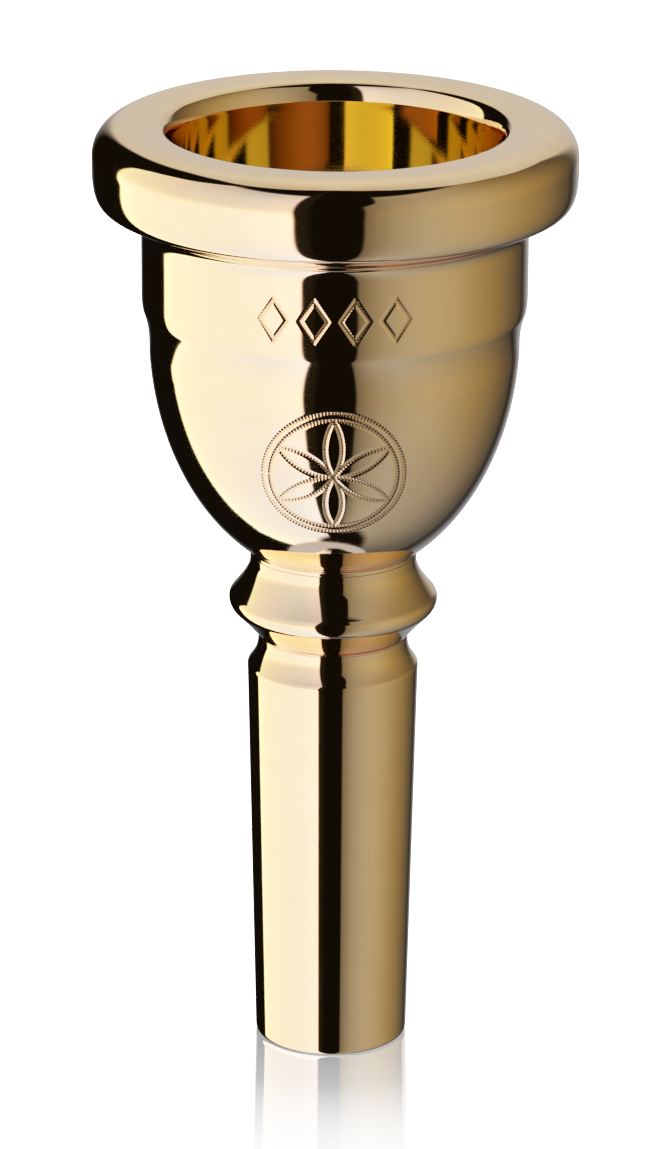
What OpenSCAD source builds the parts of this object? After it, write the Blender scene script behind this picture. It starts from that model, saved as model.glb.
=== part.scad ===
// Screw-rim mouthpiece for a large-shank low brass instrument.
// Everything is turned about the Z axis. The origin is the centre of the shank's tip,
// so every height is measured upwards from there, against the path of the air.
// The shank screws into the cup and the rim screws into the cup, both with right-hand threads.

/* [Shank] */
// Outer radius at the tip
tip_r = 6.2; // [6.1:0.05:6.4]
// Outer radius at the shoulder, the widest place of the taper
shoulder_r = 6.9; // [6.8:0.05:7.1]
// Height of the shoulder
shoulder_z = 32.1; // [30:0.1:32.3]
// Radius of the air passage at its narrowest place
throat_r = 3.7; // [3.4:0.05:3.75]
// Radius of the air passage at the tip
backbore_r = 5.35; // [4.5:0.05:5.5]

/* [Collar ring] */
// Radius of the groove between the shank and the collar
low_groove_r = 6.05; // [5.9:0.05:6.2]
// Height of that groove, where the collar sits on the shank
low_groove_z = 34.7; // [34.4:0.1:35]
// Radius of the collar at its widest place
collar_r = 8.4; // [8.2:0.05:9]
// Height of the collar's widest place
collar_z = 37.9; // [37.6:0.1:38.2]
// Radius of the groove between the collar and the cup
high_groove_r = 6.7; // [6.6:0.05:6.8]
// Height of that groove, where the cup sits on the collar
high_groove_z = 41.7; // [41.4:0.1:41.9]

/* [Cup] */
// Outer radius of the bowl's ellipse where it is widest
bowl_r = 14.75; // [14.6:0.05:14.85]
// Height at which that ellipse is widest
bowl_z = 60.1; // [59.8:0.1:60.6]
// Length of the bowl's ellipse, from its widest place to its pole
bowl_l = 20.25; // [20:0.05:20.6]
// Outer radius of the plain band under the rim
band_r = 15.3; // [15.2:0.05:15.5]
// Height of the band's lower edge
band_z = 62.45; // [62.2:0.05:62.8]

/* [Rim] */
// Outer radius of the rim
rim_r = 19.15; // [19:0.05:19.4]
// Radius at the bite, the inner edge that the lips feel
bite_r = 13; // [12.8:0.05:13.05]
// Height of the bite
bite_z = 75.45; // [75.2:0.05:75.6]
// Radius of the crown, the highest line of the rim
crown_r = 16.6; // [16.2:0.05:17]
// Height of the crown, which is the whole height of the mouthpiece
crown_z = 77.1; // [76.8:0.05:77.4]
// Height of the rim's flat underside
under_z = 70.8; // [70.6:0.05:71]

/* [Threads] */
// Pitch of both threads
pitch = 1; // [0.95:0.01:1]
// Outer radius of the rim's thread
rim_thread_r = 14; // [13.9:0.05:14]
// Outer radius of the shank's thread
shank_thread_r = 5; // [4.95:0.05:5]
// Gap between mating thread flanks, measured square to them
thread_gap = 0.08; // [0.06:0.01:0.1]

/* [Seals] */
// Thickness of both rubber seal rings
seal_d = 0.9; // [0.8:0.05:0.9]

/* [Hidden] */
gold = [0.87, 0.72, 0.42];
rubber = [0.07, 0.07, 0.08];
$fn = 96;
seam = 0.02;            // gap where two sections meet face to face
edge = 0.1;             // size of the broken edge inside the tip
tip_edge = 0.5;         // size of the rounded edge outside the tip
past = 1;               // how far a cut runs past the face it opens
seal_slot = seal_d + 0.1;

// The screwed joint between the shank and the cup
spigot_r = 5.2;         // plain part of the spigot, which carries the collar and the seal
spigot_core_r = 4.3;
socket_r = 4.4;
socket_mouth_r = spigot_r + 0.08;
shank_seal_r = spigot_r + 0.02 + seal_d / 2;
shank_seal_z = high_groove_z + 1;
spigot_land_z = high_groove_z + 1.4;
shank_thread_z = high_groove_z + 2;
spigot_end_z = high_groove_z + 6.5;
socket_end_z = spigot_end_z + 0.1;

// The screwed joint between the cup and the rim
skirt_core_r = 13.2;
seat_r = 13.35;         // bore of the cup that the skirt's lower end goes down
mouth_r = 14.35;        // plain counterbore at the top of the cup
land_r = mouth_r - 0.15;
rim_seal_r = mouth_r - 0.05 - seal_d / 2;
rim_seal_z = under_z - 0.8;
mouth_z = under_z - 1.8;
rim_thread_z = under_z - 6.2;
skirt_end_z = under_z - 7.1;
seat_z = skirt_end_z - 0.05;

// The air passage. Inside, the bowl is an ellipse that passes through the bite
bowl_depth = 27.5;      // length of that ellipse, from its widest place to its pole
bowl_top_z = bite_z + 1.5;
bowl_top_r = bite_r / sqrt(1 - ((bowl_top_z - bite_z) / bowl_depth) ^ 2);
bowl_floor_z = socket_end_z + 3.3;  // where the bowl starts to turn into the throat
bowl_floor_r = bowl_top_r * sqrt(1 - ((bowl_top_z - bowl_floor_z) / bowl_depth) ^ 2);
throat_end_z = 40;      // where the throat starts to widen towards the tip

// A quadratic bend from p0 to p2, which leaves and arrives in the direction of p1
function bend(p0, p1, p2, n = 12) =
    [for (i = [0:n]) let (t = i / n) (1 - t) ^ 2 * p0 + 2 * t * (1 - t) * p1 + t ^ 2 * p2];

// A quarter of a superellipse about [r, z], from its side to its top
function quarter(r, z, side, top, power, n = 16) =
    [for (i = [0:n]) let (a = 90 * i / n)
        [r + side * cos(a) ^ (2 / power), z + top * sin(a) ^ (2 / power)]];

// An ellipse about the axis, centred at height z, from one height below its centre to another
function dish(r, z, l, from, to, n = 24) =
    [for (i = [0:n]) let (h = from + (to - from) * i / n) [r * sqrt(1 - ((z - h) / l) ^ 2), h]];

function reversed(points) = [for (i = [len(points) - 1:-1:0]) points[i]];

// The points without any that repeat the one before
function distinct(points) =
    [for (i = [0:len(points) - 1]) if (i == 0 || norm(points[i] - points[i - 1]) > 0.001) points[i]];

module turned(points) {
    rotate_extrude() polygon(distinct(points));
}

// A right-hand threaded rod. Its ridge starts above the height start, at the angle that spin
// gives, and makes the stated number of turns. With a gap it becomes the tap that cuts
// the mating thread. Each ridge has four rows of points: root, crest, crest, root.
module thread(r, gap, start, turns, sides, spin = 0) {
    grow = 1.25 * gap;
    crest = r + grow;
    root = crest - 0.5413 * pitch;
    widen = gap / cos(30) - grow * tan(30);
    profile = [
        [root, -3 / 8 * pitch - widen],
        [crest, -1 / 16 * pitch - widen],
        [crest, 1 / 16 * pitch + widen],
        [root, 3 / 8 * pitch + widen]];
    ring = root - 0.06;
    rows = 4 * turns;
    last = sides - 1;
    function around(r, i, z) = [r * cos(360 * i / sides), r * sin(360 * i / sides), z];
    function at(i, k) = i * (rows + 2) + k;
    points = [for (i = [0:last]) each [
        around(ring, i, -0.1),
        for (k = [0:rows - 1])
            around(profile[k % 4][0], i, pitch * (0.4 + floor(k / 4) + i / sides) + profile[k % 4][1]),
        around(ring, i, pitch * (turns + 0.85))]];
    faces = [
        [for (i = [0:last]) at(i, 0)],
        [for (i = [last:-1:0]) at(i, rows + 1)],
        for (i = [0:last - 1], k = [0:rows]) each [
            [at(i, k), at(i, k + 1), at(i + 1, k + 1)],
            [at(i, k), at(i + 1, k + 1), at(i + 1, k)]],
        // The last column meets the first one a whole turn higher up
        for (k = [1:rows - 5]) each [
            [at(last, k), at(last, k + 1), at(0, k + 5)],
            [at(last, k), at(0, k + 5), at(0, k + 4)]],
        for (k = [0:4]) [at(last, 0), at(0, k + 1), at(0, k)],
        [at(last, 0), at(last, 1), at(0, 5)],
        [at(last, rows - 4), at(0, rows + 1), at(0, rows)],
        for (k = [rows - 4:rows]) [at(last, k), at(last, k + 1), at(0, rows + 1)]];
    translate([0, 0, start + pitch * spin / 360]) rotate(spin) polyhedron(points, faces, 4);
}

module seal(r, z) {
    color(rubber) translate([0, 0, z]) rotate_extrude() translate([r, 0]) circle(d = seal_d, $fn = 32);
}

// The tapered shank, with the spigot that carries the collar and screws into the cup
module shank() {
    // End of the rounded shoulder, where the surface turns in to the groove
    bevel = [shoulder_r - 0.18, shoulder_z + 0.4];
    outside = concat(
        [[0, 0]],
        bend([tip_r - tip_edge, 0], [tip_r, 0], [tip_r, tip_edge], 6),
        bend([shoulder_r, shoulder_z], [shoulder_r, shoulder_z + 0.2], bevel, 4),
        bend(bevel, [low_groove_r, low_groove_z - 1.35], [low_groove_r, low_groove_z - 0.4]),
        [[low_groove_r, low_groove_z], [spigot_r, low_groove_z], [spigot_r, spigot_land_z],
         [spigot_core_r, spigot_land_z], [spigot_core_r, spigot_end_z], [0, spigot_end_z]]);
    backbore = concat(
        [[0, -past], [backbore_r + edge, -past], [backbore_r + edge, 0]],
        bend([backbore_r, edge], [throat_r + 0.15, 0.6 * throat_end_z], [throat_r, throat_end_z]),
        [[throat_r, spigot_end_z + past], [0, spigot_end_z + past]]);
    color(gold) difference() {
        union() {
            turned(outside);
            thread(shank_thread_r, 0, shank_thread_z, 3, 36);
        }
        turned(backbore);
    }
}

// The turned ring between the shank and the cup, pressed onto the spigot
module collar_ring() {
    bore_r = spigot_r + 0.01;
    top_z = high_groove_z - seam;
    bottom_z = low_groove_z + seam;
    // Between these two points the collar's nose is round
    nose_low = [collar_r - 0.4, collar_z - 0.95];
    nose_high = [collar_r - 0.29, collar_z + 0.6];
    color(gold) turned(concat(
        [[bore_r, bottom_z], [low_groove_r, bottom_z]],
        bend([low_groove_r, bottom_z + 0.1], [low_groove_r + 0.7, bottom_z + 1.03], nose_low),
        bend(nose_low, [collar_r, collar_z - 0.55], [collar_r, collar_z], 6),
        bend([collar_r, collar_z], [collar_r, collar_z + 0.3], nose_high, 6),
        bend(nose_high, [high_groove_r - 0.08, high_groove_z - 1.5], [high_groove_r, high_groove_z - 0.5]),
        [[high_groove_r, top_z], [bore_r, top_z]]));
}

module shank_seal() {
    seal(shank_seal_r, shank_seal_z);
}

// The bowl, with the band that carries the rim's thread and the socket for the spigot
module cup() {
    // Lowest height of the bowl's ellipse, where it is as narrow as the groove below it
    foot_z = bowl_z - bowl_l * sqrt(1 - (high_groove_r / bowl_r) ^ 2);
    // From the hip the bowl turns into an upright waist, a little narrower than the full ellipse
    hip = [bowl_r * sqrt(1 - (2.1 / bowl_l) ^ 2), bowl_z - 2.1];
    waist_r = bowl_r - 0.045;
    // Where the hollow above the waist turns into the rounded lower edge of the band
    flare = [band_r - 0.125, band_z - 0.35];
    outside = concat(
        [[0, high_groove_z], [high_groove_r, high_groove_z]],
        dish(bowl_r, bowl_z, bowl_l, foot_z, hip.y),
        bend(hip, [waist_r, bowl_z - 1.64], [waist_r, bowl_z - 0.8], 4),
        bend([waist_r, bowl_z - 0.8], [waist_r, bowl_z + 0.7], flare),
        bend(flare, [band_r, band_z + 0.05], [band_r, band_z + 1.05], 6),
        bend([band_r, under_z - 2.3], [band_r, under_z - 1.35], [band_r + 0.82, under_z - 0.87], 6),
        [[band_r + 2.3, under_z - seam], [0, under_z - seam]]);
    slot_r = shank_seal_r + seal_d / 2 + 0.03;
    slot_low_z = shank_seal_z - seal_slot / 2;
    slot_high_z = shank_seal_z + seal_slot / 2;
    inside = concat(
        [[0, high_groove_z - past], [socket_mouth_r, high_groove_z - past], [socket_mouth_r, slot_low_z]],
        [[slot_r, slot_low_z], [slot_r, slot_high_z], [socket_r, slot_high_z], [socket_r, socket_end_z]],
        bend([throat_r, socket_end_z], [throat_r, socket_end_z + 2.1], [bowl_floor_r, bowl_floor_z]),
        dish(bowl_top_r, bowl_top_z, bowl_depth, bowl_floor_z, seat_z),
        [[seat_r, seat_z], [seat_r, mouth_z], [mouth_r, mouth_z]],
        [[mouth_r, under_z + past], [0, under_z + past]]);
    color(gold) difference() {
        turned(outside);
        turned(inside);
        thread(shank_thread_r, thread_gap, shank_thread_z - 2 * pitch, 5, 36, 60);
        thread(rim_thread_r, thread_gap, rim_thread_z, 5, 60, -60);
    }
}

module rim_seal() {
    seal(rim_seal_r, rim_seal_z);
}

// The rim, with the threaded skirt that screws down into the cup
module rim() {
    slot_r = rim_seal_r - seal_d / 2 - 0.02;
    slot_low_z = rim_seal_z - seal_slot / 2;
    slot_high_z = rim_seal_z + seal_slot / 2;
    land_z = mouth_z + 0.1;
    // Between these heights the side of the rim is upright
    side_low_z = under_z + 3.05;
    side_high_z = crown_z - 2.5;
    // Radius at which the flat underside starts to turn up into the side
    under_r = rim_r - 1.25;
    // Here the gently sloping top of the rim turns down to the sharp edge of the bite
    lip_r = bite_r + 0.93;
    lip_z = crown_z - 0.17;
    outside = concat(
        [[0, skirt_end_z], [skirt_core_r, skirt_end_z], [skirt_core_r, land_z], [land_r, land_z]],
        [[land_r, slot_low_z], [slot_r, slot_low_z], [slot_r, slot_high_z], [land_r, slot_high_z]],
        [[land_r, under_z], [under_r, under_z]],
        reversed(quarter(under_r, side_low_z, rim_r - under_r, under_z - side_low_z, 2.85)),
        quarter(crown_r, side_high_z, rim_r - crown_r, crown_z - side_high_z, 2),
        bend([crown_r, crown_z], [lip_r + 0.63, crown_z], [lip_r, lip_z]),
        bend([lip_r, lip_z], [bite_r + 0.29, lip_z - 0.173], [bite_r, bite_z]),
        [[0, bite_z]]);
    color(gold) difference() {
        union() {
            turned(outside);
            thread(rim_thread_r, 0, rim_thread_z, 3, 60);
        }
        turned(concat(
            [[0, skirt_end_z - past]],
            dish(bowl_top_r, bowl_top_z, bowl_depth, skirt_end_z - past, bite_z),
            [[bite_r, crown_z + past], [0, crown_z + past]]));
    }
}

shank();
collar_ring();
shank_seal();
cup();
rim_seal();
rim();
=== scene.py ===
"""Looks of the brass mouthpiece: turned meshes, gold plate, rubber seals, studio light and camera.

Lengths are in millimetres until a mesh is made. Heights are measured up from the shank's tip, and
outlines are [radius, height] pairs that run up the outside of a piece and down its bore.
"""
import math

import bpy
import numpy as np
from mathutils import Matrix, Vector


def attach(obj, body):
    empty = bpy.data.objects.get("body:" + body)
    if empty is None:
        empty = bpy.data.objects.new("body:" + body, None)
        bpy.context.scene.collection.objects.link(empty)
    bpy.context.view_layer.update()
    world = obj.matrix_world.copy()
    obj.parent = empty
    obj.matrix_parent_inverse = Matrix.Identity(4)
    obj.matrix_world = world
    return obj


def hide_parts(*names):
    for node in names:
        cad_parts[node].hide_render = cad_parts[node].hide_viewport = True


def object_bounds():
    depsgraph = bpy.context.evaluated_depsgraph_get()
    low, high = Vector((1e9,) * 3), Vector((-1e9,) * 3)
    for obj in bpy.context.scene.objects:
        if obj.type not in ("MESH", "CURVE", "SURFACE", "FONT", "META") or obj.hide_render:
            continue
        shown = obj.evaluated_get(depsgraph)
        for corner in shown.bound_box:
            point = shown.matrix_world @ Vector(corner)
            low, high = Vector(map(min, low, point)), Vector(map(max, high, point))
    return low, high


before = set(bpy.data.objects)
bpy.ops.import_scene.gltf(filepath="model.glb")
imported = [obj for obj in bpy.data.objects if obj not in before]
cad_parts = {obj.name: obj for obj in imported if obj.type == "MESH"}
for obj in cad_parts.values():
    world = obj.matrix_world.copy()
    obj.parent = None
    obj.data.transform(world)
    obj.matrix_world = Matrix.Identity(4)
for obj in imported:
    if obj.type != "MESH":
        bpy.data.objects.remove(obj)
cad_low, cad_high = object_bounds()

MM = 0.001
TAU = 2 * math.pi

# The same driving values as the CAD source
TIP_R, TIP_EDGE, EDGE = 6.2, 0.5, 0.1
SHOULDER_R, SHOULDER_Z = 6.9, 32.1
THROAT_R, BACKBORE_R, THROAT_END_Z = 3.7, 5.35, 40.0
LOW_GROOVE_R, LOW_GROOVE_Z = 6.05, 34.7
COLLAR_R, COLLAR_Z = 8.4, 37.9
HIGH_GROOVE_R, HIGH_GROOVE_Z = 6.7, 41.7
BOWL_R, BOWL_Z, BOWL_L = 14.75, 60.1, 20.25
BAND_R, BAND_Z = 15.3, 62.45
BITE_R, BITE_Z = 13.0, 75.45
CROWN_R, UNDER_Z = 16.6, 70.8
PITCH, GAP, SEAM = 1.0, 0.08, 0.02
RIM_THREAD_R, SHANK_THREAD_R = 14.0, 5.0
SEAL_D = 0.9
SPIGOT_R, SPIGOT_CORE_R, SOCKET_R = 5.2, 4.3, 4.4
SKIRT_CORE_R, SEAT_R, MOUTH_R = 13.2, 13.35, 14.35

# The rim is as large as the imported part, a hair inside its flats
RIM_R = min(cad_high.x, cad_high.y, -cad_low.x, -cad_low.y) / MM - 0.002
CROWN_Z = cad_high.z / MM - 0.002

# Heights inside the two screwed joints
SHANK_SEAL_R, SHANK_SEAL_Z = SPIGOT_R + 0.02 + SEAL_D / 2, HIGH_GROOVE_Z + 1
SPIGOT_LAND_Z, SHANK_THREAD_Z = HIGH_GROOVE_Z + 1.4, HIGH_GROOVE_Z + 2
SPIGOT_END_Z, SOCKET_END_Z = HIGH_GROOVE_Z + 6.5, HIGH_GROOVE_Z + 6.6
RIM_SEAL_R, RIM_SEAL_Z = MOUTH_R - 0.05 - SEAL_D / 2, UNDER_Z - 0.8
MOUTH_Z, LAND_R, LAND_Z = UNDER_Z - 1.8, MOUTH_R - 0.15, UNDER_Z - 1.7
RIM_THREAD_Z, SKIRT_END_Z, SEAT_Z = UNDER_Z - 6.2, UNDER_Z - 7.1, UNDER_Z - 7.15
BOWL_FLOOR_Z = SOCKET_END_Z + 3.3
BOWL_DEPTH, BOWL_TOP_Z = 27.5, BITE_Z + 1.5
BOWL_TOP_R = BITE_R / math.sqrt(1 - ((BOWL_TOP_Z - BITE_Z) / BOWL_DEPTH) ** 2)
SLOT = SEAL_D / 2 + 0.05
THREAD_DEPTH = 0.5413 * PITCH


# ---------------------------------------------------------------- outlines
CORNER_COS = math.cos(math.radians(12))  # stretches that meet at more than this have a corner


def bend(p0, p1, p2):
    """A quadratic bend from p0 to p2, which leaves and arrives in the direction of p1."""
    t = np.linspace(0, 1, 160)[:, None]
    p0, p1, p2 = map(np.array, (p0, p1, p2))
    return (1 - t) ** 2 * p0 + 2 * t * (1 - t) * p1 + t**2 * p2


def quarter(r, z, side, top, power):
    """A quarter of a superellipse about (r, z), from its side to its top."""
    a = np.linspace(0, math.pi / 2, 600)
    cos, sin = np.clip(np.cos(a), 0, 1), np.clip(np.sin(a), 0, 1)
    return np.column_stack([r + side * cos ** (2 / power), z + top * sin ** (2 / power)])


def dish(r, z, length, start, stop):
    """Part of an ellipse about the axis whose centre is at height z."""
    h = np.linspace(start, stop, 400)
    return np.column_stack([r * np.sqrt(1 - ((z - h) / length) ** 2), h])


def run_of(points):
    """Length along a line at each of its points."""
    return np.concatenate([[0], np.cumsum(np.hypot(*np.diff(points, axis=0).T))])


def along(points, run, at):
    """The points of a line at these lengths along it."""
    return np.column_stack([np.interp(at, run, points[:, k]) for k in (0, 1)])


def direction(points, at_end):
    """Direction of a line at its start or its end."""
    d = points[-1] - points[-2] if at_end else points[1] - points[0]
    return d / np.hypot(*d)


def outline(stretches, soft):
    """A closed line through the stretches, as (points, kept).

    A stretch is (points, step) or (points, step, fine). The first has a point every step. The
    second has them fine times as close, and kept is false for the extra ones. Where two
    stretches meet at an angle, the corner is rounded by a bend of size soft.
    """
    lines = [np.array(stretch[0], float) for stretch in stretches]
    count = len(lines)
    # True where a stretch starts at a corner
    corner = [
        direction(lines[k - 1], True) @ direction(lines[k], False) < CORNER_COS
        for k in range(count)
    ]
    trimmed = []
    for k in range(count):
        run = run_of(lines[k])
        trim = min(soft, run[-1] * 0.3)
        low = trim if corner[k] else 0
        high = run[-1] - (trim if corner[(k + 1) % count] else 0)
        trimmed.append((lines[k], run, low, high))
    points, kept = [], []
    for k, (path, run, low, high) in enumerate(trimmed):
        step = stretches[k][1]
        fine = stretches[k][2] if len(stretches[k]) > 2 else 1
        pieces = max(1, round((high - low) / step)) * fine
        row = along(path, run, np.linspace(low, high, pieces + 1))
        kept.extend(i % fine == 0 for i in range(pieces))
        if corner[(k + 1) % count]:
            next_path, next_run, next_low, _ = trimmed[(k + 1) % count]
            start = along(next_path, next_run, [next_low])[0]
            points.extend(row)
            points.extend(bend(row[-1], path[-1], start)[32::32])
            kept.extend([True] * 5)
        else:
            points.extend(row[:-1])
    return np.array(points), np.array(kept)


def line(*points):
    """A straight stretch through the points."""
    return np.array(points, float)


# ---------------------------------------------------------------- meshes
FIRST_ANGLE = math.pi / 2  # where the first column of a mesh lies, on the side away from -Y


def surface(points, angles, relief):
    """Positions of a grid of rows and angles, moved out along the surface by relief."""
    before, after = np.roll(points, 1, 0), np.roll(points, -1, 0)
    d1, d2 = points - before, after - points
    normal = np.column_stack([d1[:, 1] + d2[:, 1], -d1[:, 0] - d2[:, 0]])
    normal /= np.maximum(np.hypot(*normal.T), 1e-12)[:, None]
    r, z = points[:, 0][:, None], points[:, 1][:, None]
    a = np.asarray(angles)[None, :]
    out = relief(r, z, a) if relief else np.zeros((len(points), a.shape[1]))
    rr = r + out * normal[:, 0][:, None]
    zz = z + out * normal[:, 1][:, None]
    return np.stack([rr * np.cos(a), rr * np.sin(a), zz], axis=-1)


def grid_normals(p, closed):
    """Normals at the points of a grid, from the faces around each, by area."""
    if closed:
        p = np.concatenate([p[-1:], p, p[:1]], axis=0)
        p = np.concatenate([p[:, -1:], p, p[:, :1]], axis=1)
    a, b = p[1:, 1:] - p[:-1, :-1], p[1:, :-1] - p[:-1, 1:]
    face = np.cross(a, b)
    n = face[1:, 1:] + face[1:, :-1] + face[:-1, 1:] + face[:-1, :-1]
    return n / np.maximum(np.linalg.norm(n, axis=-1), 1e-15)[..., None]


def patch_span(shape, columns, patch):
    """First and last row and column of a patch, counted in the coarse grid."""
    points, kept = shape
    rows = np.nonzero(kept)[0]
    low_z, high_z, half = patch
    heights = points[rows, 1]
    # Rows with dropped rows beside them, which are those of the dense stretches
    dense = np.array([not kept[(r + 1) % len(kept)] or not kept[r - 1] for r in rows])
    first, last = np.nonzero((heights > low_z) & (heights < high_z) & dense)[0][[0, -1]]
    return first, last, columns // 2 - half, columns // 2 + half


def patch_surface(shape, columns, relief, fine, span):
    """Positions and normals of the dense grid of a patch."""
    points, kept = shape
    rows = np.nonzero(kept)[0]
    c0, c1, j0, j1 = span
    step = TAU / columns / fine
    angles = FIRST_ANGLE + TAU * j0 / columns + step * np.arange(-1, (j1 - j0) * fine + 2)
    # One row and column more on each side, for the normals
    ring = points[rows[c0] - 1 : rows[c1] + 2]
    wide = surface(np.concatenate([ring, ring[-1:]]), angles, relief)[:-1]
    return wide[1:-1, 1:-1], grid_normals(wide, False)


def border_points(ids, dense_ids, fine, span):
    """For each coarse edge round a patch, the dense points between its ends."""
    c0, c1, j0, j1 = span
    between = {}
    for j in range(j0, j1):
        k = (j - j0) * fine
        between[ids[c0, j], ids[c0, j + 1]] = dense_ids[0, k + 1 : k + fine].tolist()
        between[ids[c1, j], ids[c1, j + 1]] = dense_ids[-1, k + 1 : k + fine].tolist()
    for c in range(c0, c1):
        k = (c - c0) * fine
        between[ids[c, j0], ids[c + 1, j0]] = dense_ids[k + 1 : k + fine, 0].tolist()
        between[ids[c, j1], ids[c + 1, j1]] = dense_ids[k + 1 : k + fine, -1].tolist()
    return between


def dense_faces(ids):
    return np.stack([ids[:-1, :-1], ids[:-1, 1:], ids[1:, 1:], ids[1:, :-1]], axis=-1).reshape(-1, 4)


def coarse_faces(ids, skip, between):
    """Faces of the coarse grid, which closes on itself both ways, except those to skip."""
    count, columns = ids.shape
    faces = []
    for i in range(count):
        for j in range(columns):
            if skip[i, j]:
                continue
            i2, j2 = (i + 1) % count, (j + 1) % columns
            loop = [ids[i, j], ids[i, j2], ids[i2, j2], ids[i2, j]]
            face = []
            for p, q in zip(loop, loop[1:] + loop[:1]):
                face.append(p)
                face.extend(between.get((p, q)) or reversed(between.get((q, p), [])))
            faces.append(face)
    return faces


def add_piece(name, places, normals, faces):
    """A smooth mesh object. places are in millimetres."""
    mesh = bpy.data.meshes.new(name)
    mesh.from_pydata((places * MM).tolist(), [], faces)
    mesh.shade_smooth()
    mesh.normals_split_custom_set_from_vertices(normals.tolist())
    piece = bpy.data.objects.new(name, mesh)
    bpy.context.scene.collection.objects.link(piece)
    return piece


def lathe(name, shape, columns, relief=None, patches=(), fine=1):
    """A closed turned mesh. shape is what outline() gives.

    A patch is (lowest height, highest height, half the number of columns). Between those
    heights and columns, about the side that faces -Y, the mesh is fine times as dense.
    """
    points, kept = shape
    angles = FIRST_ANGLE + TAU * np.arange(columns) / columns
    coarse = surface(points[np.nonzero(kept)[0]], angles, relief)
    places, normals = [coarse.reshape(-1, 3)], [grid_normals(coarse, True).reshape(-1, 3)]
    ids = np.arange(len(places[0])).reshape(coarse.shape[:2])
    used = np.ones(ids.size, bool)
    skip = np.zeros(ids.shape, bool)
    faces, between = [], {}
    for patch in patches:
        span = patch_span(shape, columns, patch)
        c0, c1, j0, j1 = span
        dense, dense_normals = patch_surface(shape, columns, relief, fine, span)
        places.append(dense.reshape(-1, 3))
        normals.append(dense_normals.reshape(-1, 3))
        dense_ids = len(used) + np.arange(len(places[-1])).reshape(dense.shape[:2])
        # The dense points take the place of the coarse ones
        used = np.concatenate([used, np.ones(dense_ids.size, bool)])
        used[ids[c0 : c1 + 1, j0 : j1 + 1].ravel()] = False
        ids[c0 : c1 + 1, j0 : j1 + 1] = dense_ids[::fine, ::fine]
        skip[c0:c1, j0:j1] = True
        faces.extend(dense_faces(dense_ids).tolist())
        between.update(border_points(ids, dense_ids, fine, span))
    faces.extend(coarse_faces(ids, skip, between))
    renumber = np.cumsum(used) - 1
    faces = [[int(renumber[v]) for v in face] for face in faces]
    return add_piece(name, np.concatenate(places)[used], np.concatenate(normals)[used], faces)


# ---------------------------------------------------------------- threads
FLANK_ANGLE = math.radians(30)
CREST_GAP = 1.25  # room over the ridge's crest, in gaps
THREAD_FADE = 0.3  # turns over which a thread rises to its full height


def smooth(x):
    """A smooth step from 0 to 1 as x goes from 0 to 1."""
    x = np.clip(x, 0, 1)
    return x * x * (3 - 2 * x)


def thread(start, base_r, gap, first_turn, last_turn):
    """Relief of a right-hand thread on a cylinder of radius base_r.

    Without a gap it is a ridge that stands out by the thread's depth. With a gap it is the
    mating groove. first_turn and last_turn say where it fades in and out, counted in turns.
    """
    slope = math.tan(FLANK_ANGLE)
    widen = gap / math.cos(FLANK_ANGLE) - CREST_GAP * gap * slope

    def relief(r, z, a):
        round_share = np.mod(a, TAU) / TAU
        turn = (z - start) / PITCH - 0.4 - round_share
        off = np.abs(turn - np.round(turn)) * PITCH
        centre = np.round(turn) + round_share
        height = np.clip((3 / 8 * PITCH + widen - off) / slope, 0, THREAD_DEPTH)
        height = height * smooth((centre - first_turn) / THREAD_FADE)
        height = height * smooth((last_turn - centre) / THREAD_FADE)
        on_cylinder = np.abs(r - base_r) < 0.02
        # A groove is a little deeper than the ridge is high
        return np.where(on_cylinder, -height - 0.04 * (height > 0) if gap else height, 0.0)

    return relief


# ---------------------------------------------------------------- engraving
LINE_HALF = 0.22  # half the width of an engraved line
LINE_DEPTH = 0.085
CHATTER = 0.27  # length of one step of the cutter along a line


def groove(distance, run):
    """Depth of an engraved line with the small steps that the cutter leaves along it."""
    cut = np.clip(1 - (distance / LINE_HALF) ** 2, 0, 1) ** 1.5
    return LINE_DEPTH * cut * (0.72 + 0.28 * np.cos(TAU * run / CHATTER))


ROSETTE_Z = 52.3
ROSETTE_R = 5.05
ROSETTE_RING_R = 5.65


def rosette(u, v):
    """Depth of six compass-drawn petals in a double ring."""
    radius = np.hypot(u, v)
    depth = np.maximum(
        groove(np.abs(radius - ROSETTE_R), ROSETTE_R * np.arctan2(v, u)),
        groove(np.abs(radius - ROSETTE_RING_R), ROSETTE_RING_R * np.arctan2(v, u)),
    )
    for k in range(6):
        x = u - ROSETTE_R * math.cos(TAU * k / 6 + TAU / 12)
        y = v - ROSETTE_R * math.sin(TAU * k / 6 + TAU / 12)
        petal = groove(np.abs(np.hypot(x, y) - ROSETTE_R), ROSETTE_R * np.arctan2(y, x))
        depth = np.maximum(depth, np.where(radius < ROSETTE_R, petal, 0))
    return depth


LOZENGE_Z = 65.35
LOZENGE_HALF = (1.1, 1.6)
LOZENGE_SPACING = 3.2


def lozenges(u, v):
    """Depth of a row of four lozenges."""
    w, h = LOZENGE_HALF
    depth = 0
    for k in range(4):
        x = np.abs(u - (k - 1.5) * LOZENGE_SPACING)
        y = np.abs(v)
        distance = np.abs(x / w + y / h - 1) * w * h / math.hypot(w, h)
        depth = np.maximum(depth, groove(distance, y * math.hypot(w, h) / h))
    return depth


# Height at which the bowl meets the collar ring
FOOT_Z = BOWL_Z - BOWL_L * math.sqrt(1 - (HIGH_GROOVE_R / BOWL_R) ** 2)
# A place this far inside the cup's outside still counts as on it
ON_OUTSIDE = 0.12


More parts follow.
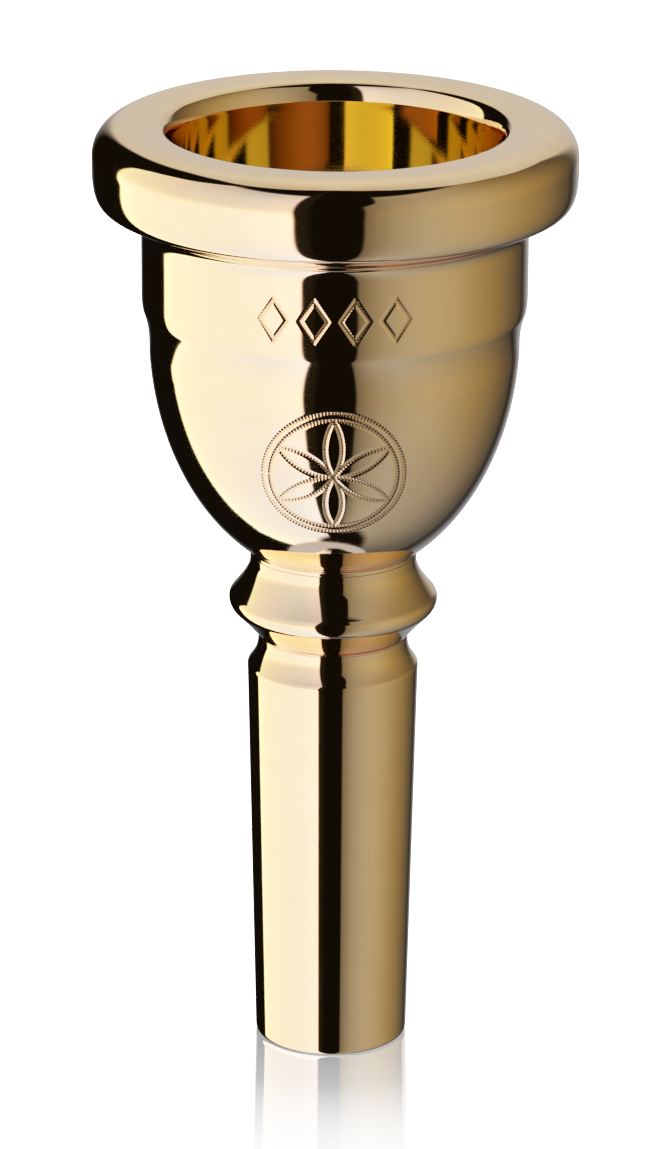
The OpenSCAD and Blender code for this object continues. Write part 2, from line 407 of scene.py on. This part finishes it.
def ornament():
    """The depth of the engraving as a function of a place on the cup."""
    profile = dish(BOWL_R, BOWL_Z, BOWL_L, FOOT_Z, BOWL_Z)
    profile_run = run_of(profile)
    rosette_run = np.interp(ROSETTE_Z, profile[:, 1], profile_run)

    def engraving(r, z, a):
        u = r * (np.mod(a - math.pi / 2, TAU) - math.pi)
        v = np.interp(z, profile[:, 1], profile_run) - rosette_run
        outside = r > np.interp(z, profile[:, 1], profile[:, 0]) - ON_OUTSIDE
        on_bowl = np.where(outside & (z < BOWL_Z), rosette(u, v), 0)
        on_band = (r > BAND_R - ON_OUTSIDE) & (z > BAND_Z)
        return on_bowl + np.where(on_band, lozenges(u, z - LOZENGE_Z), 0)

    return engraving


# ---------------------------------------------------------------- the six pieces
def threaded_core(core_r, base_r, thread_z, low_z, high_z):
    """Stretches up a core, with the slightly wider length on which its thread stands."""
    first, last = thread_z - 0.1, thread_z + 3.85
    return [
        (line([core_r, low_z], [core_r, first]), 0.3),
        (line([core_r, first], [base_r, first]), 0.1),
        (line([base_r, first], [base_r, last]), PITCH / 16),
        (line([base_r, last], [core_r, last]), 0.1),
        (line([core_r, last], [core_r, high_z]), 0.3),
    ]


def make_shank():
    """The tapered shank, its shoulder and the threaded spigot above."""
    bevel = [SHOULDER_R - 0.18, SHOULDER_Z + 0.4]
    turn_in = [LOW_GROOVE_R, LOW_GROOVE_Z - 0.4]
    backbore_bend = [THROAT_R + 0.15, 0.6 * THROAT_END_Z]
    base = SHANK_THREAD_R - THREAD_DEPTH
    shape = outline(
        [
            (line([BACKBORE_R + EDGE, 0], [TIP_R - TIP_EDGE, 0]), 0.1),
            (bend([TIP_R - TIP_EDGE, 0], [TIP_R, 0], [TIP_R, TIP_EDGE]), 0.05),
            (line([TIP_R, TIP_EDGE], [SHOULDER_R, SHOULDER_Z]), 0.8),
            (bend([SHOULDER_R, SHOULDER_Z], [SHOULDER_R, SHOULDER_Z + 0.2], bevel), 0.05),
            (bend(bevel, [LOW_GROOVE_R, LOW_GROOVE_Z - 1.35], turn_in), 0.1),
            (line(turn_in, [LOW_GROOVE_R, LOW_GROOVE_Z]), 0.1),
            (line([LOW_GROOVE_R, LOW_GROOVE_Z], [SPIGOT_R, LOW_GROOVE_Z]), 0.3),
            (line([SPIGOT_R, LOW_GROOVE_Z], [SPIGOT_R, SPIGOT_LAND_Z]), 0.6),
            (line([SPIGOT_R, SPIGOT_LAND_Z], [SPIGOT_CORE_R, SPIGOT_LAND_Z]), 0.3),
            *threaded_core(SPIGOT_CORE_R, base, SHANK_THREAD_Z, SPIGOT_LAND_Z, SPIGOT_END_Z),
            (line([SPIGOT_CORE_R, SPIGOT_END_Z], [THROAT_R, SPIGOT_END_Z]), 0.2),
            (line([THROAT_R, SPIGOT_END_Z], [THROAT_R, THROAT_END_Z]), 0.8),
            (bend([THROAT_R, THROAT_END_Z], backbore_bend, [BACKBORE_R, EDGE]), 0.8),
            (line([BACKBORE_R, EDGE], [BACKBORE_R + EDGE, 0]), 0.1),
        ],
        soft=0.02,
    )
    return lathe("shank_mesh", shape, 144, thread(SHANK_THREAD_Z, base, 0, 0, 3))


def make_collar():
    """The turned ring that is pressed onto the spigot."""
    top, bottom = HIGH_GROOVE_Z - SEAM, LOW_GROOVE_Z + SEAM
    bore = SPIGOT_R + 0.01
    flank = [LOW_GROOVE_R, bottom + 0.1]
    nose_low = [COLLAR_R - 0.4, COLLAR_Z - 0.95]
    nose = [COLLAR_R, COLLAR_Z]
    nose_high = [COLLAR_R - 0.29, COLLAR_Z + 0.6]
    turn_in = [HIGH_GROOVE_R, HIGH_GROOVE_Z - 0.5]
    shape = outline(
        [
            (line([bore, bottom], [LOW_GROOVE_R, bottom]), 0.2),
            (line([LOW_GROOVE_R, bottom], flank), 0.1),
            (bend(flank, [LOW_GROOVE_R + 0.7, bottom + 1.03], nose_low), 0.1),
            (bend(nose_low, [COLLAR_R, COLLAR_Z - 0.55], nose), 0.08),
            (bend(nose, [COLLAR_R, COLLAR_Z + 0.3], nose_high), 0.08),
            (bend(nose_high, [HIGH_GROOVE_R - 0.08, HIGH_GROOVE_Z - 1.5], turn_in), 0.1),
            (line(turn_in, [HIGH_GROOVE_R, top]), 0.1),
            (line([HIGH_GROOVE_R, top], [bore, top]), 0.2),
            (line([bore, top], [bore, bottom]), 0.6),
        ],
        soft=0.015,
    )
    return lathe("collar_ring_mesh", shape, 160)


def make_cup():
    """The bowl and the band, with their engraving, a thread at each end and the seal's slot."""
    slot_r = SHANK_SEAL_R + SEAL_D / 2 + 0.03
    inner = dish(BOWL_TOP_R, BOWL_TOP_Z, BOWL_DEPTH, SEAT_Z, BOWL_FLOOR_Z)
    socket_base = SHANK_THREAD_R + CREST_GAP * GAP - THREAD_DEPTH - 0.06
    socket_high = SHANK_THREAD_Z + 4
    tap_base = RIM_THREAD_R + CREST_GAP * GAP - THREAD_DEPTH - 0.04
    rosette_low, hip_z = 46.3, BOWL_Z - 2.1
    below_hip = dish(BOWL_R, BOWL_Z, BOWL_L, rosette_low, hip_z)
    waist_low, waist_high = [BOWL_R - 0.045, BOWL_Z - 1.64], [BOWL_R - 0.045, BOWL_Z + 0.7]
    waist = [BOWL_R - 0.045, BOWL_Z - 0.8]
    flare = [BAND_R - 0.125, BAND_Z - 0.35]
    band_low, band_high = BAND_Z + 1.05, 67.3
    fillet = [BAND_R + 0.82, UNDER_Z - 0.87]
    socket_mouth = SPIGOT_R + 0.08
    fine, step = 8, 0.6
    shape = outline(
        [
            (line([socket_mouth, HIGH_GROOVE_Z], [HIGH_GROOVE_R, HIGH_GROOVE_Z]), 0.3),
            (dish(BOWL_R, BOWL_Z, BOWL_L, FOOT_Z, rosette_low), 0.3),
            (below_hip, step, fine),
            (bend(below_hip[-1], waist_low, waist), 0.1),
            (bend(waist, waist_high, flare), 0.1),
            (bend(flare, [BAND_R, BAND_Z + 0.05], [BAND_R, band_low]), 0.1),
            (line([BAND_R, band_low], [BAND_R, band_high]), step, fine),
            (line([BAND_R, band_high], [BAND_R, UNDER_Z - 2.3]), 0.5),
            (bend([BAND_R, UNDER_Z - 2.3], [BAND_R, UNDER_Z - 1.35], fillet), 0.1),
            (line(fillet, [BAND_R + 2.3, UNDER_Z - SEAM]), 0.3),
            (line([BAND_R + 2.3, UNDER_Z - SEAM], [MOUTH_R, UNDER_Z - SEAM]), 0.3),
            (line([MOUTH_R, UNDER_Z - SEAM], [MOUTH_R, MOUTH_Z]), 0.4),
            (line([MOUTH_R, MOUTH_Z], [tap_base, MOUTH_Z]), 0.2),
            (line([tap_base, MOUTH_Z], [tap_base, RIM_THREAD_Z]), PITCH / 16),
            (line([tap_base, RIM_THREAD_Z], [SEAT_R, RIM_THREAD_Z]), 0.1),
            (line([SEAT_R, RIM_THREAD_Z], [SEAT_R, SEAT_Z]), 0.3),
            (line([SEAT_R, SEAT_Z], inner[0]), 0.3),
            (inner, 0.35),
            (bend(inner[-1], [THROAT_R, SOCKET_END_Z + 2.1], [THROAT_R, SOCKET_END_Z]), 0.25),
            (line([THROAT_R, SOCKET_END_Z], [SOCKET_R, SOCKET_END_Z]), 0.2),
            (line([SOCKET_R, SOCKET_END_Z], [SOCKET_R, socket_high]), 0.3),
            (line([SOCKET_R, socket_high], [socket_base, socket_high]), 0.1),
            (line([socket_base, socket_high], [socket_base, SHANK_SEAL_Z + SLOT]), PITCH / 16),
            (line([socket_base, SHANK_SEAL_Z + SLOT], [slot_r, SHANK_SEAL_Z + SLOT]), 0.4),
            (line([slot_r, SHANK_SEAL_Z + SLOT], [slot_r, SHANK_SEAL_Z - SLOT]), 0.4),
            (line([slot_r, SHANK_SEAL_Z - SLOT], [socket_mouth, SHANK_SEAL_Z - SLOT]), 0.4),
            (line([socket_mouth, SHANK_SEAL_Z - SLOT], [socket_mouth, HIGH_GROOVE_Z]), 0.3),
        ],
        soft=0.02,
    )
    tap = thread(RIM_THREAD_Z, tap_base, GAP, -0.5, 9)
    socket = thread(SHANK_THREAD_Z, socket_base, GAP, -9, 3.45)
    engraving = ornament()

    def relief(r, z, a):
        return tap(r, z, a) + socket(r, z, a) - engraving(r, z, a)

    patches = [(rosette_low - 0.01, hip_z + 0.01, 12), (band_low - 0.01, band_high + 0.01, 12)]
    piece = lathe("cup_mesh", shape, 160, relief, patches, fine)
    # The material reads how deep each point is cut
    x, y, z = np.array([v.co for v in piece.data.vertices]).T / MM
    depth = engraving(np.hypot(x, y), z, np.arctan2(y, x))
    cut = piece.data.attributes.new("cut", "FLOAT", "POINT")
    cut.data.foreach_set("value", np.clip(depth / LINE_DEPTH, 0, 1).astype(np.float32))
    return piece


def make_rim():
    """The rounded rim and the threaded skirt below it."""
    slot_r = RIM_SEAL_R - SEAL_D / 2 - 0.02
    side_low_z, side_high_z = UNDER_Z + 3.05, CROWN_Z - 2.5
    under_r = RIM_R - 1.25
    base = RIM_THREAD_R - THREAD_DEPTH
    side = quarter(under_r, side_low_z, RIM_R - under_r, UNDER_Z - side_low_z, 2.85)[::-1]
    lip_r, lip_z = BITE_R + 0.93, CROWN_Z - 0.17
    top = bend([CROWN_R, CROWN_Z], [lip_r + 0.63, CROWN_Z], [lip_r, lip_z])
    lip = bend([lip_r, lip_z], [BITE_R + 0.29, lip_z - 0.173], [BITE_R, BITE_Z])
    inner = dish(BOWL_TOP_R, BOWL_TOP_Z, BOWL_DEPTH, BITE_Z, SKIRT_END_Z)
    shape = outline(
        [
            (line(inner[-1], [SKIRT_CORE_R, SKIRT_END_Z]), 0.3),
            *threaded_core(SKIRT_CORE_R, base, RIM_THREAD_Z, SKIRT_END_Z, LAND_Z),
            (line([SKIRT_CORE_R, LAND_Z], [LAND_R, LAND_Z]), 0.3),
            (line([LAND_R, LAND_Z], [LAND_R, RIM_SEAL_Z - SLOT]), 0.2),
            (line([LAND_R, RIM_SEAL_Z - SLOT], [slot_r, RIM_SEAL_Z - SLOT]), 0.3),
            (line([slot_r, RIM_SEAL_Z - SLOT], [slot_r, RIM_SEAL_Z + SLOT]), 0.3),
            (line([slot_r, RIM_SEAL_Z + SLOT], [LAND_R, RIM_SEAL_Z + SLOT]), 0.3),
            (line([LAND_R, RIM_SEAL_Z + SLOT], [LAND_R, UNDER_Z]), 0.2),
            (line([LAND_R, UNDER_Z], [under_r, UNDER_Z]), 0.25),
            (side, 0.12),
            (line([RIM_R, side_low_z], [RIM_R, side_high_z]), 0.2),
            (quarter(CROWN_R, side_high_z, RIM_R - CROWN_R, CROWN_Z - side_high_z, 2), 0.12),
            (np.vstack([top, lip[1:]]), 0.1),
            (inner, 0.35),
        ],
        soft=0.04,
    )
    return lathe("rim_mesh", shape, 240, thread(RIM_THREAD_Z, base, 0, 0, 3))


def make_seal(name, r, z, columns):
    """A rubber ring, round in section, with the fine line that its mould leaves."""
    a = np.linspace(0, TAU, 49)[:-1]
    size = SEAL_D / 2 - 0.012 + 0.012 * np.exp(-((np.sin(a) / 0.06) ** 2))
    points = np.column_stack([r + size * np.cos(a), z + size * np.sin(a)])
    return lathe(name, (points, np.ones(len(a), bool)), columns)


# ---------------------------------------------------------------- materials
class Net:
    """Adds nodes to a node tree and joins them."""

    def __init__(self, tree):
        self.tree = tree
        tree.nodes.clear()

    def node(self, kind, inputs=(), **settings):
        made = self.tree.nodes.new(kind)
        for name, value in settings.items():
            setattr(made, name, value)
        for name, value in dict(inputs).items():
            if isinstance(value, bpy.types.NodeSocket):
                self.tree.links.new(value, made.inputs[name])
            else:
                made.inputs[name].default_value = value
        return made

    def vector(self, operation, *values):
        return self.node("ShaderNodeVectorMath", dict(enumerate(values)), operation=operation)

    def math(self, operation, *values):
        return self.node("ShaderNodeMath", dict(enumerate(values)), operation=operation).outputs[0]

    def rise(self, value, low, high, start=0.0, stop=1.0):
        """A smooth step from start to stop as value goes from low to high."""
        inputs = {"Value": value, "From Min": low, "From Max": high, "To Min": start, "To Max": stop}
        made = self.node("ShaderNodeMapRange", inputs, interpolation_type="SMOOTHSTEP")
        return made.outputs["Result"]

    def band(self, value, low, high, soft):
        """1 between low and high, with soft edges, and 0 outside."""
        up = self.rise(value, low - soft, low + soft)
        down = self.rise(value, high - soft, high + soft, 1.0, 0.0)
        return self.math("MULTIPLY", up, down)

    def ramp(self, value, low, high, stops):
        """A colour that follows value through the stops, each (value, colour or grey)."""
        share = self.node(
            "ShaderNodeMapRange", {"Value": value, "From Min": low, "From Max": high}
        ).outputs["Result"]
        made = self.node("ShaderNodeValToRGB", {"Fac": share})
        elements = made.color_ramp.elements
        elements.remove(elements[1])
        for k, (at, colour) in enumerate(stops):
            place = (at - low) / (high - low)
            element = elements[0] if k == 0 else elements.new(place)
            element.position = place
            element.color = (*colour, 1) if isinstance(colour, tuple) else (colour,) * 3 + (1,)
        return made.outputs["Color"]

    def noise(self, place, scale, detail):
        inputs = {"Vector": place, "Scale": scale, "Detail": detail}
        return self.node("ShaderNodeTexNoise", inputs).outputs[0]

    def bump(self, height, strength, distance):
        inputs = {"Strength": strength, "Distance": distance, "Height": height}
        return self.node("ShaderNodeBump", inputs).outputs["Normal"]

    def mix(self, share, a, b, kind="MIX"):
        made = self.node("ShaderNodeMix", data_type="RGBA", blend_type=kind)
        for socket, value in zip([made.inputs[0], made.inputs[6], made.inputs[7]], [share, a, b]):
            if isinstance(value, bpy.types.NodeSocket):
                self.tree.links.new(value, socket)
            else:
                socket.default_value = (*value, 1) if isinstance(value, tuple) else value
        return made.outputs[2]


def material(name):
    made = bpy.data.materials.new(name)
    made.use_nodes = True
    return made, Net(made.node_tree)


def inside_painted_reflection(net, place, radius, z):
    """Where the yellow painted reflection goes: 1 on the steep inner faces below the bite, 0
    elsewhere.
    """
    normal = net.node("ShaderNodeTexCoord").outputs["Normal"]
    level = net.vector("MULTIPLY", place, (1.0, 1.0, 0.0)).outputs[0]
    facing = net.vector("DOT_PRODUCT", normal, level).outputs["Value"]
    inward = net.rise(net.math("DIVIDE", facing, radius), -0.75, -0.45, 1.0, 0.0)
    return net.math("MULTIPLY", inward, net.math("LESS_THAN", z, (BITE_Z - 0.03) * MM))


def gold_material():
    """Polished gold plate on turned brass, with fine polishing lines round the axis."""
    made, net = material("gold_plate")
    place = net.node("ShaderNodeTexCoord").outputs["Object"]
    split = net.node("ShaderNodeSeparateXYZ", {0: place})
    x, y, z = (split.outputs[k] for k in range(3))
    angle = net.math("ARCTAN2", x, net.math("MULTIPLY", y, -1.0))
    radius = net.math("SQRT", net.math("ADD", net.math("MULTIPLY", x, x), net.math("MULTIPLY", y, y)))
    around = net.node("ShaderNodeCombineXYZ", {0: angle, 1: radius, 2: z}).outputs[0]
    lines = net.noise(net.vector("MULTIPLY", around, (1.2, 9000.0, 9000.0)).outputs[0], 1.0, 3.0)
    haze = net.noise(place, 260.0, 4.0)
    specks = net.noise(place, 5200.0, 2.0)
    hazy = net.rise(haze, 0.3, 0.75, 0.035, 0.06)
    roughness = net.math("ADD", hazy, net.rise(lines, 0.5, 0.8, 0.0, 0.03))

    plate = net.mix(net.rise(haze, 0.35, 0.7), (0.99, 0.70, 0.355), (1.0, 0.725, 0.38))
    plate = net.mix(net.rise(specks, 0.62, 0.78, 0.0, 0.5), plate, (0.93, 0.63, 0.3))
    # Painted reflection colour: seen in another reflection the gold is drawn paler, and the steep
    # faces inside the cup are painted yellower for the light that bounces round in it
    depth = net.node("ShaderNodeLightPath").outputs["Ray Depth"]
    plate = net.mix(net.rise(depth, 0.4, 0.6), plate, (1.0, 0.76, 0.48))
    colour = net.mix(inside_painted_reflection(net, place, radius, z), plate, (0.89, 0.72, 0.25))
    # The engraved lines are darker and duller, the more so the deeper they are cut
    cut = net.node("ShaderNodeAttribute", attribute_name="cut").outputs["Fac"]
    colour = net.mix(net.math("MULTIPLY", cut, 0.85), colour, (0.78, 0.5, 0.22))
    roughness = net.math("ADD", roughness, net.math("MULTIPLY", cut, 0.3))
    inputs = {"Base Color": colour, "Metallic": 1.0, "Roughness": roughness}
    inputs["Normal"] = net.bump(lines, 0.05, 0.00002)
    shader = net.node("ShaderNodeBsdfPrincipled", inputs)
    net.node("ShaderNodeOutputMaterial", {"Surface": shader.outputs[0]})
    return made


def rubber_material():
    """Black nitrile rubber with a fine grain and a trace of grease."""
    made, net = material("seal_rubber")
    place = net.node("ShaderNodeTexCoord").outputs["Object"]
    grain = net.noise(place, 9000.0, 3.0)
    grease = net.noise(place, 700.0, 3.0)
    colour = net.mix(net.rise(grain, 0.35, 0.7), (0.012, 0.012, 0.013), (0.03, 0.03, 0.032))
    inputs = {"Base Color": colour, "Roughness": net.rise(grease, 0.35, 0.65, 0.28, 0.6)}
    inputs["Normal"] = net.bump(grain, 0.35, 0.00003)
    shader = net.node("ShaderNodeBsdfPrincipled", inputs)
    net.node("ShaderNodeOutputMaterial", {"Surface": shader.outputs[0]})
    return made


# ---------------------------------------------------------------- light
# The light is a function of direction only. Azimuth az is 0 towards the camera and grows to the
# right, elevation el is 0 at the horizon, and both are in degrees. Each panel is a pair: how much of
# it lies in a direction, and its colour there. The stops of the panels' edges and colours are rounded
# readings of what the polish reflects from each direction in the photograph.
WHITE = 4.0
FLOOR_DROP = 0.00002  # how far the floor lies below the foot, so that the two don't meet


def left_panel(net, az, el):
    """The key light, brighter in its lower half."""
    left_end = net.math("SUBTRACT", az, net.rise(el, 25, 68, -121.5, -94.0))
    share = net.math("MULTIPLY", net.rise(left_end, -1.2, 1.2), net.rise(az, -20.7, -18.3, 1.0, 0.0))
    share = net.math("MULTIPLY", share, net.band(el, -84, 64, 2.5))
    by_azimuth = [
        (-120, (2.3, 2.3, 1.8)),
        (-110, (2.1, 1.8, 1.7)),
        (-95, (1.9, 1.65, 1.7)),
        (-80, (1.75, 1.58, 1.75)),
        (-60, (1.62, 1.55, 1.8)),
        (-45, (1.65, 1.58, 1.87)),
        (-30, (1.95, 1.72, 2.05)),
        (-22, (2.05, 1.75, 2.1)),
    ]
    by_elevation = [
        (-60, (0.8, 0.95, 1.22)),
        (-45, (0.86, 0.95, 1.08)),
        (-30, (0.98, 0.97, 1.0)),
        (-15, (1.14, 1.04, 0.98)),
        (-3, (1.14, 1.0, 0.9)),
        (2, (0.78, 0.78, 0.72)),
        (12, (0.64, 0.67, 0.67)),
        (30, (0.58, 0.62, 0.69)),
        (45, (0.5, 0.55, 0.65)),
        (60, (0.4, 0.45, 0.54)),
    ]
    colour = net.ramp(az, -125, -15, by_azimuth)
    return share, net.mix(1.0, colour, net.ramp(el, -85, 65, by_elevation), "MULTIPLY")


def right_panel(net, az, el):
    """A dimmer and warmer light that falls off towards its far side."""
    near_edge = net.ramp(el, -90, 90, [(26, 13.8 / 90), (38, 21 / 90), (58, 25 / 90)])
    inward = net.math("SUBTRACT", az, net.math("MULTIPLY", near_edge, 90.0))
    share = net.math("MULTIPLY", net.rise(inward, -1.0, 1.0), net.rise(az, 142, 154, 1.0, 0.0))
    share = net.math("MULTIPLY", share, net.band(el, -77, 59, 2.0))
    by_azimuth = [
        (14, (0.19, 0.17, 0.15)),
        (20, (0.27, 0.26, 0.24)),
        (30, (0.37, 0.37, 0.37)),
        (45, (0.45, 0.45, 0.46)),
        (60, (0.49, 0.47, 0.44)),
        (75, (0.45, 0.43, 0.36)),
        (88, (0.39, 0.36, 0.26)),
        (103, (0.32, 0.28, 0.17)),
        (118, (0.24, 0.2, 0.13)),
        (133, (0.14, 0.12, 0.09)),
        (148, (0.06, 0.06, 0.06)),
    ]
    by_elevation = [
        (-25, (1.0, 1.0, 1.0)),
        (0, (1.12, 1.04, 0.87)),
        (12, (1.05, 0.99, 0.86)),
        (25, (0.97, 0.94, 0.88)),
        (46, (0.84, 0.81, 0.78)),
    ]
    # The pale table lights it from below
    by_azimuth_low = [
        (14, (0.16, 0.15, 0.15)),
        (20, (0.28, 0.28, 0.3)),
        (30, (0.385, 0.405, 0.47)),
        (45, (0.425, 0.46, 0.57)),
        (60, (0.41, 0.44, 0.54)),
        (80, (0.37, 0.39, 0.46)),
        (95, (0.345, 0.36, 0.41)),
        (110, (0.29, 0.3, 0.36)),
        (125, (0.21, 0.22, 0.27)),
        (140, (0.12, 0.13, 0.16)),
    ]
    colour = net.ramp(az, 10, 160, by_azimuth)
    colour = net.mix(1.0, colour, net.ramp(el, -30, 60, by_elevation), "MULTIPLY")
    low_colour = net.ramp(az, 10, 160, by_azimuth_low)
    return share, net.mix(net.rise(el, -58, -20), low_colour, colour)


def backdrop(net, az, el):
    """The lit backdrop, which stands behind the object and reaches over it."""
    far = net.math("ABSOLUTE", az)
    # How far round towards the camera it comes on each side, at each elevation
    on_right = [(-20, 158), (0, 151), (20, 143), (30, 139), (40, 124), (50, 115), (62, 96), (78, 80)]
    on_left = [(-20, 172), (0, 168), (20, 162), (30, 158), (40, 151), (50, 144), (60, 130), (70, 104)]
    on_left.append((82, 84))
    right_edge = net.ramp(el, -90, 90, [(at, edge / 180) for at, edge in on_right])
    left_edge = net.ramp(el, -90, 90, [(at, edge / 180) for at, edge in on_left])
    edge = net.mix(net.rise(az, -1, 1), left_edge, right_edge)
    past = net.math("SUBTRACT", far, net.math("MULTIPLY", edge, 180.0))
    soft = net.rise(el, -10, 30, 11.0, 2.5)
    share = net.rise(past, net.math("MULTIPLY", soft, -1.0), soft)
    share = net.math("MULTIPLY", share, net.rise(el, -60, -40))
    by_elevation = [
        (-30, (0.3, 0.35, 0.48)),
        (0, (0.6, 0.6, 0.66)),
        (20, (0.67, 0.67, 0.74)),
        (45, (0.78, 0.8, 0.92)),
        (60, (0.78, 0.8, 0.94)),
        (82, (0.7, 0.68, 0.72)),
    ]
    level = net.ramp(far, 0, 180, [(90, 0.8), (135, 0.88), (175, 1.04)])
    return share, net.mix(1.0, net.ramp(el, -60, 90, by_elevation), level, "MULTIPLY")


def disc_below(net, x, y, z):
    """A pale disc under the far side of the object, which shows in the underside of the bowl."""
    across = net.math("DIVIDE", net.math("ADD", x, 0.035), 0.235)
    away = net.math("DIVIDE", net.math("SUBTRACT", y, 0.25), 0.26)
    off = net.math("ADD", net.math("MULTIPLY", across, across), net.math("MULTIPLY", away, away))
    share = net.math("MULTIPLY", net.rise(off, 0.94, 1.06, 1.0, 0.0), net.math("LESS_THAN", z, -0.5))
    return net.math("MULTIPLY", share, net.rise(y, 0.24, 0.5, 1.0, 0.0)), (0.59, 0.63, 0.96)


def browner(net, panel, tint, depth, low, high):
    """A panel that looks browner after several reflections inside the cup."""
    share, colour = panel
    brown = net.mix(1.0, colour, tint, "MULTIPLY")
    return share, net.mix(net.rise(depth, low, high), colour, brown)


def light_studio():
    """Soft panels round the object, as the directions in which its polish sees them."""
    world = bpy.data.worlds.new("studio")
    bpy.context.scene.world = world
    world.use_nodes = True
    net = Net(world.node_tree)
    ray = net.node("ShaderNodeTexCoord").outputs["Generated"]
    split = net.node("ShaderNodeSeparateXYZ", {0: ray})
    x, y, z = (split.outputs[k] for k in range(3))
    degrees = 180 / math.pi
    az = net.math("MULTIPLY", net.math("ARCTAN2", x, net.math("MULTIPLY", y, -1.0)), degrees)
    el = net.math("MULTIPLY", net.math("ARCSINE", z), degrees)
    path = net.node("ShaderNodeLightPath")
    depth = path.outputs["Ray Depth"]

    # The gap between the panels is nearly black
    light = net.mix(net.band(az, -19, -12, 2), (0.006, 0.005, 0.004), (0.016, 0.013, 0.009))
    for share, colour in (
        browner(net, left_panel(net, az, el), (0.42, 0.24, 0.5), depth, 4.4, 4.6),
        browner(net, right_panel(net, az, el), (0.84, 0.4, 0.6), depth, 3.4, 3.6),
        backdrop(net, az, el),
        disc_below(net, x, y, z),
    ):
        light = net.mix(share, light, colour)

    # Seen directly or in the floor, the studio is plain white
    plain = net.math("MAXIMUM", path.outputs["Is Camera Ray"], path.outputs["Is Singular Ray"])
    light = net.mix(plain, light, (WHITE,) * 3)
    shader = net.node("ShaderNodeBackground", {"Color": light, "Strength": 1.0})
    net.node("ShaderNodeOutputWorld", {"Surface": shader.outputs[0]})


def make_floor():
    """A white floor, polished only enough to show the foot of the object."""
    half = 0.6
    corners = [(-half, -half), (half, -half), (half, half), (-half, half)]
    mesh = bpy.data.meshes.new("floor")
    mesh.from_pydata([(px, py, -FLOOR_DROP) for px, py in corners], [], [(0, 1, 2, 3)])
    floor = bpy.data.objects.new("floor", mesh)
    bpy.context.scene.collection.objects.link(floor)
    made, net = material("floor_white")
    geometry = net.node("ShaderNodeNewGeometry")
    flat = net.vector("MULTIPLY", geometry.outputs["Position"], (1.0, 1.0, 0.0)).outputs[0]
    distance = net.vector("LENGTH", flat).outputs["Value"]
    by_distance = [(0.0, 0.9), (0.006, 0.9), (0.012, 0.86), (0.024, 0.62), (0.034, 0.3), (0.046, 0.0)]
    sheen = net.ramp(distance, 0.0, 0.05, by_distance)
    white = net.node("ShaderNodeEmission", {"Color": (1, 1, 1, 1), "Strength": WHITE})
    mirror = net.node("ShaderNodeBsdfGlossy", {"Color": (1, 1, 1, 1), "Roughness": 0.0})
    mixed = net.node("ShaderNodeMixShader", {0: sheen, 1: white.outputs[0], 2: mirror.outputs[0]})
    # From below, the object is seen through the floor
    clear = net.node("ShaderNodeBsdfTransparent")
    backfacing = geometry.outputs["Backfacing"]
    shown = net.node("ShaderNodeMixShader", {0: backfacing, 1: mixed.outputs[0], 2: clear.outputs[0]})
    net.node("ShaderNodeOutputMaterial", {"Surface": shown.outputs[0]})
    mesh.materials.append(made)
    floor.visible_glossy = False
    floor.visible_diffuse = False


def set_picture():
    """The camera, and a soft shoulder on the bright tones like that of a photographic print."""
    scene = bpy.context.scene
    data = bpy.data.cameras.new("camera")
    data.lens = 174.51
    data.sensor_width = 36
    data.shift_x = 0.00195
    data.clip_start, data.clip_end = 0.01, 10
    camera = bpy.data.objects.new("camera", data)
    scene.collection.objects.link(camera)
    tilt, roll = 0.33671, 0.00546
    turn = Matrix.Rotation(math.pi / 2 - tilt, 4, "X") @ Matrix.Rotation(roll, 4, "Z")
    camera.matrix_world = Matrix.Translation((0, -0.42329, 0.18778)) @ turn
    scene.camera = camera

    scene.cycles.max_bounces = 16
    scene.cycles.glossy_bounces = 16
    scene.view_settings.view_transform = "Standard"
    scene.view_settings.use_curve_mapping = True
    tones = scene.view_settings.curve_mapping
    white = 2.4
    tones.white_level = (white, white, white)
    stops = ((0.2, 0.2), (0.45, 0.45), (0.7, 0.64), (1.03, 0.807), (1.456, 0.935), (1.9, 0.985))
    for bright, shown in stops:
        tones.curves[3].points.new(bright / white, shown)
    tones.update()


gold = gold_material()
rubber = rubber_material()
for piece, body, node in (
    (make_shank(), "shank", "shank"),
    (make_collar(), "shank", "collar_ring"),
    (make_cup(), "cup", "cup"),
    (make_rim(), "rim", "rim"),
    (make_seal("shank_seal_mesh", SHANK_SEAL_R, SHANK_SEAL_Z, 128), "shank_seal", "shank_seal"),
    (make_seal("rim_seal_mesh", RIM_SEAL_R, RIM_SEAL_Z, 200), "rim_seal", "rim_seal"),
):
    is_seal = node.endswith("seal")
    piece.data.materials.append(rubber if is_seal else gold)
    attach(piece, body)
    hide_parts(node)

light_studio()
make_floor()
set_picture()
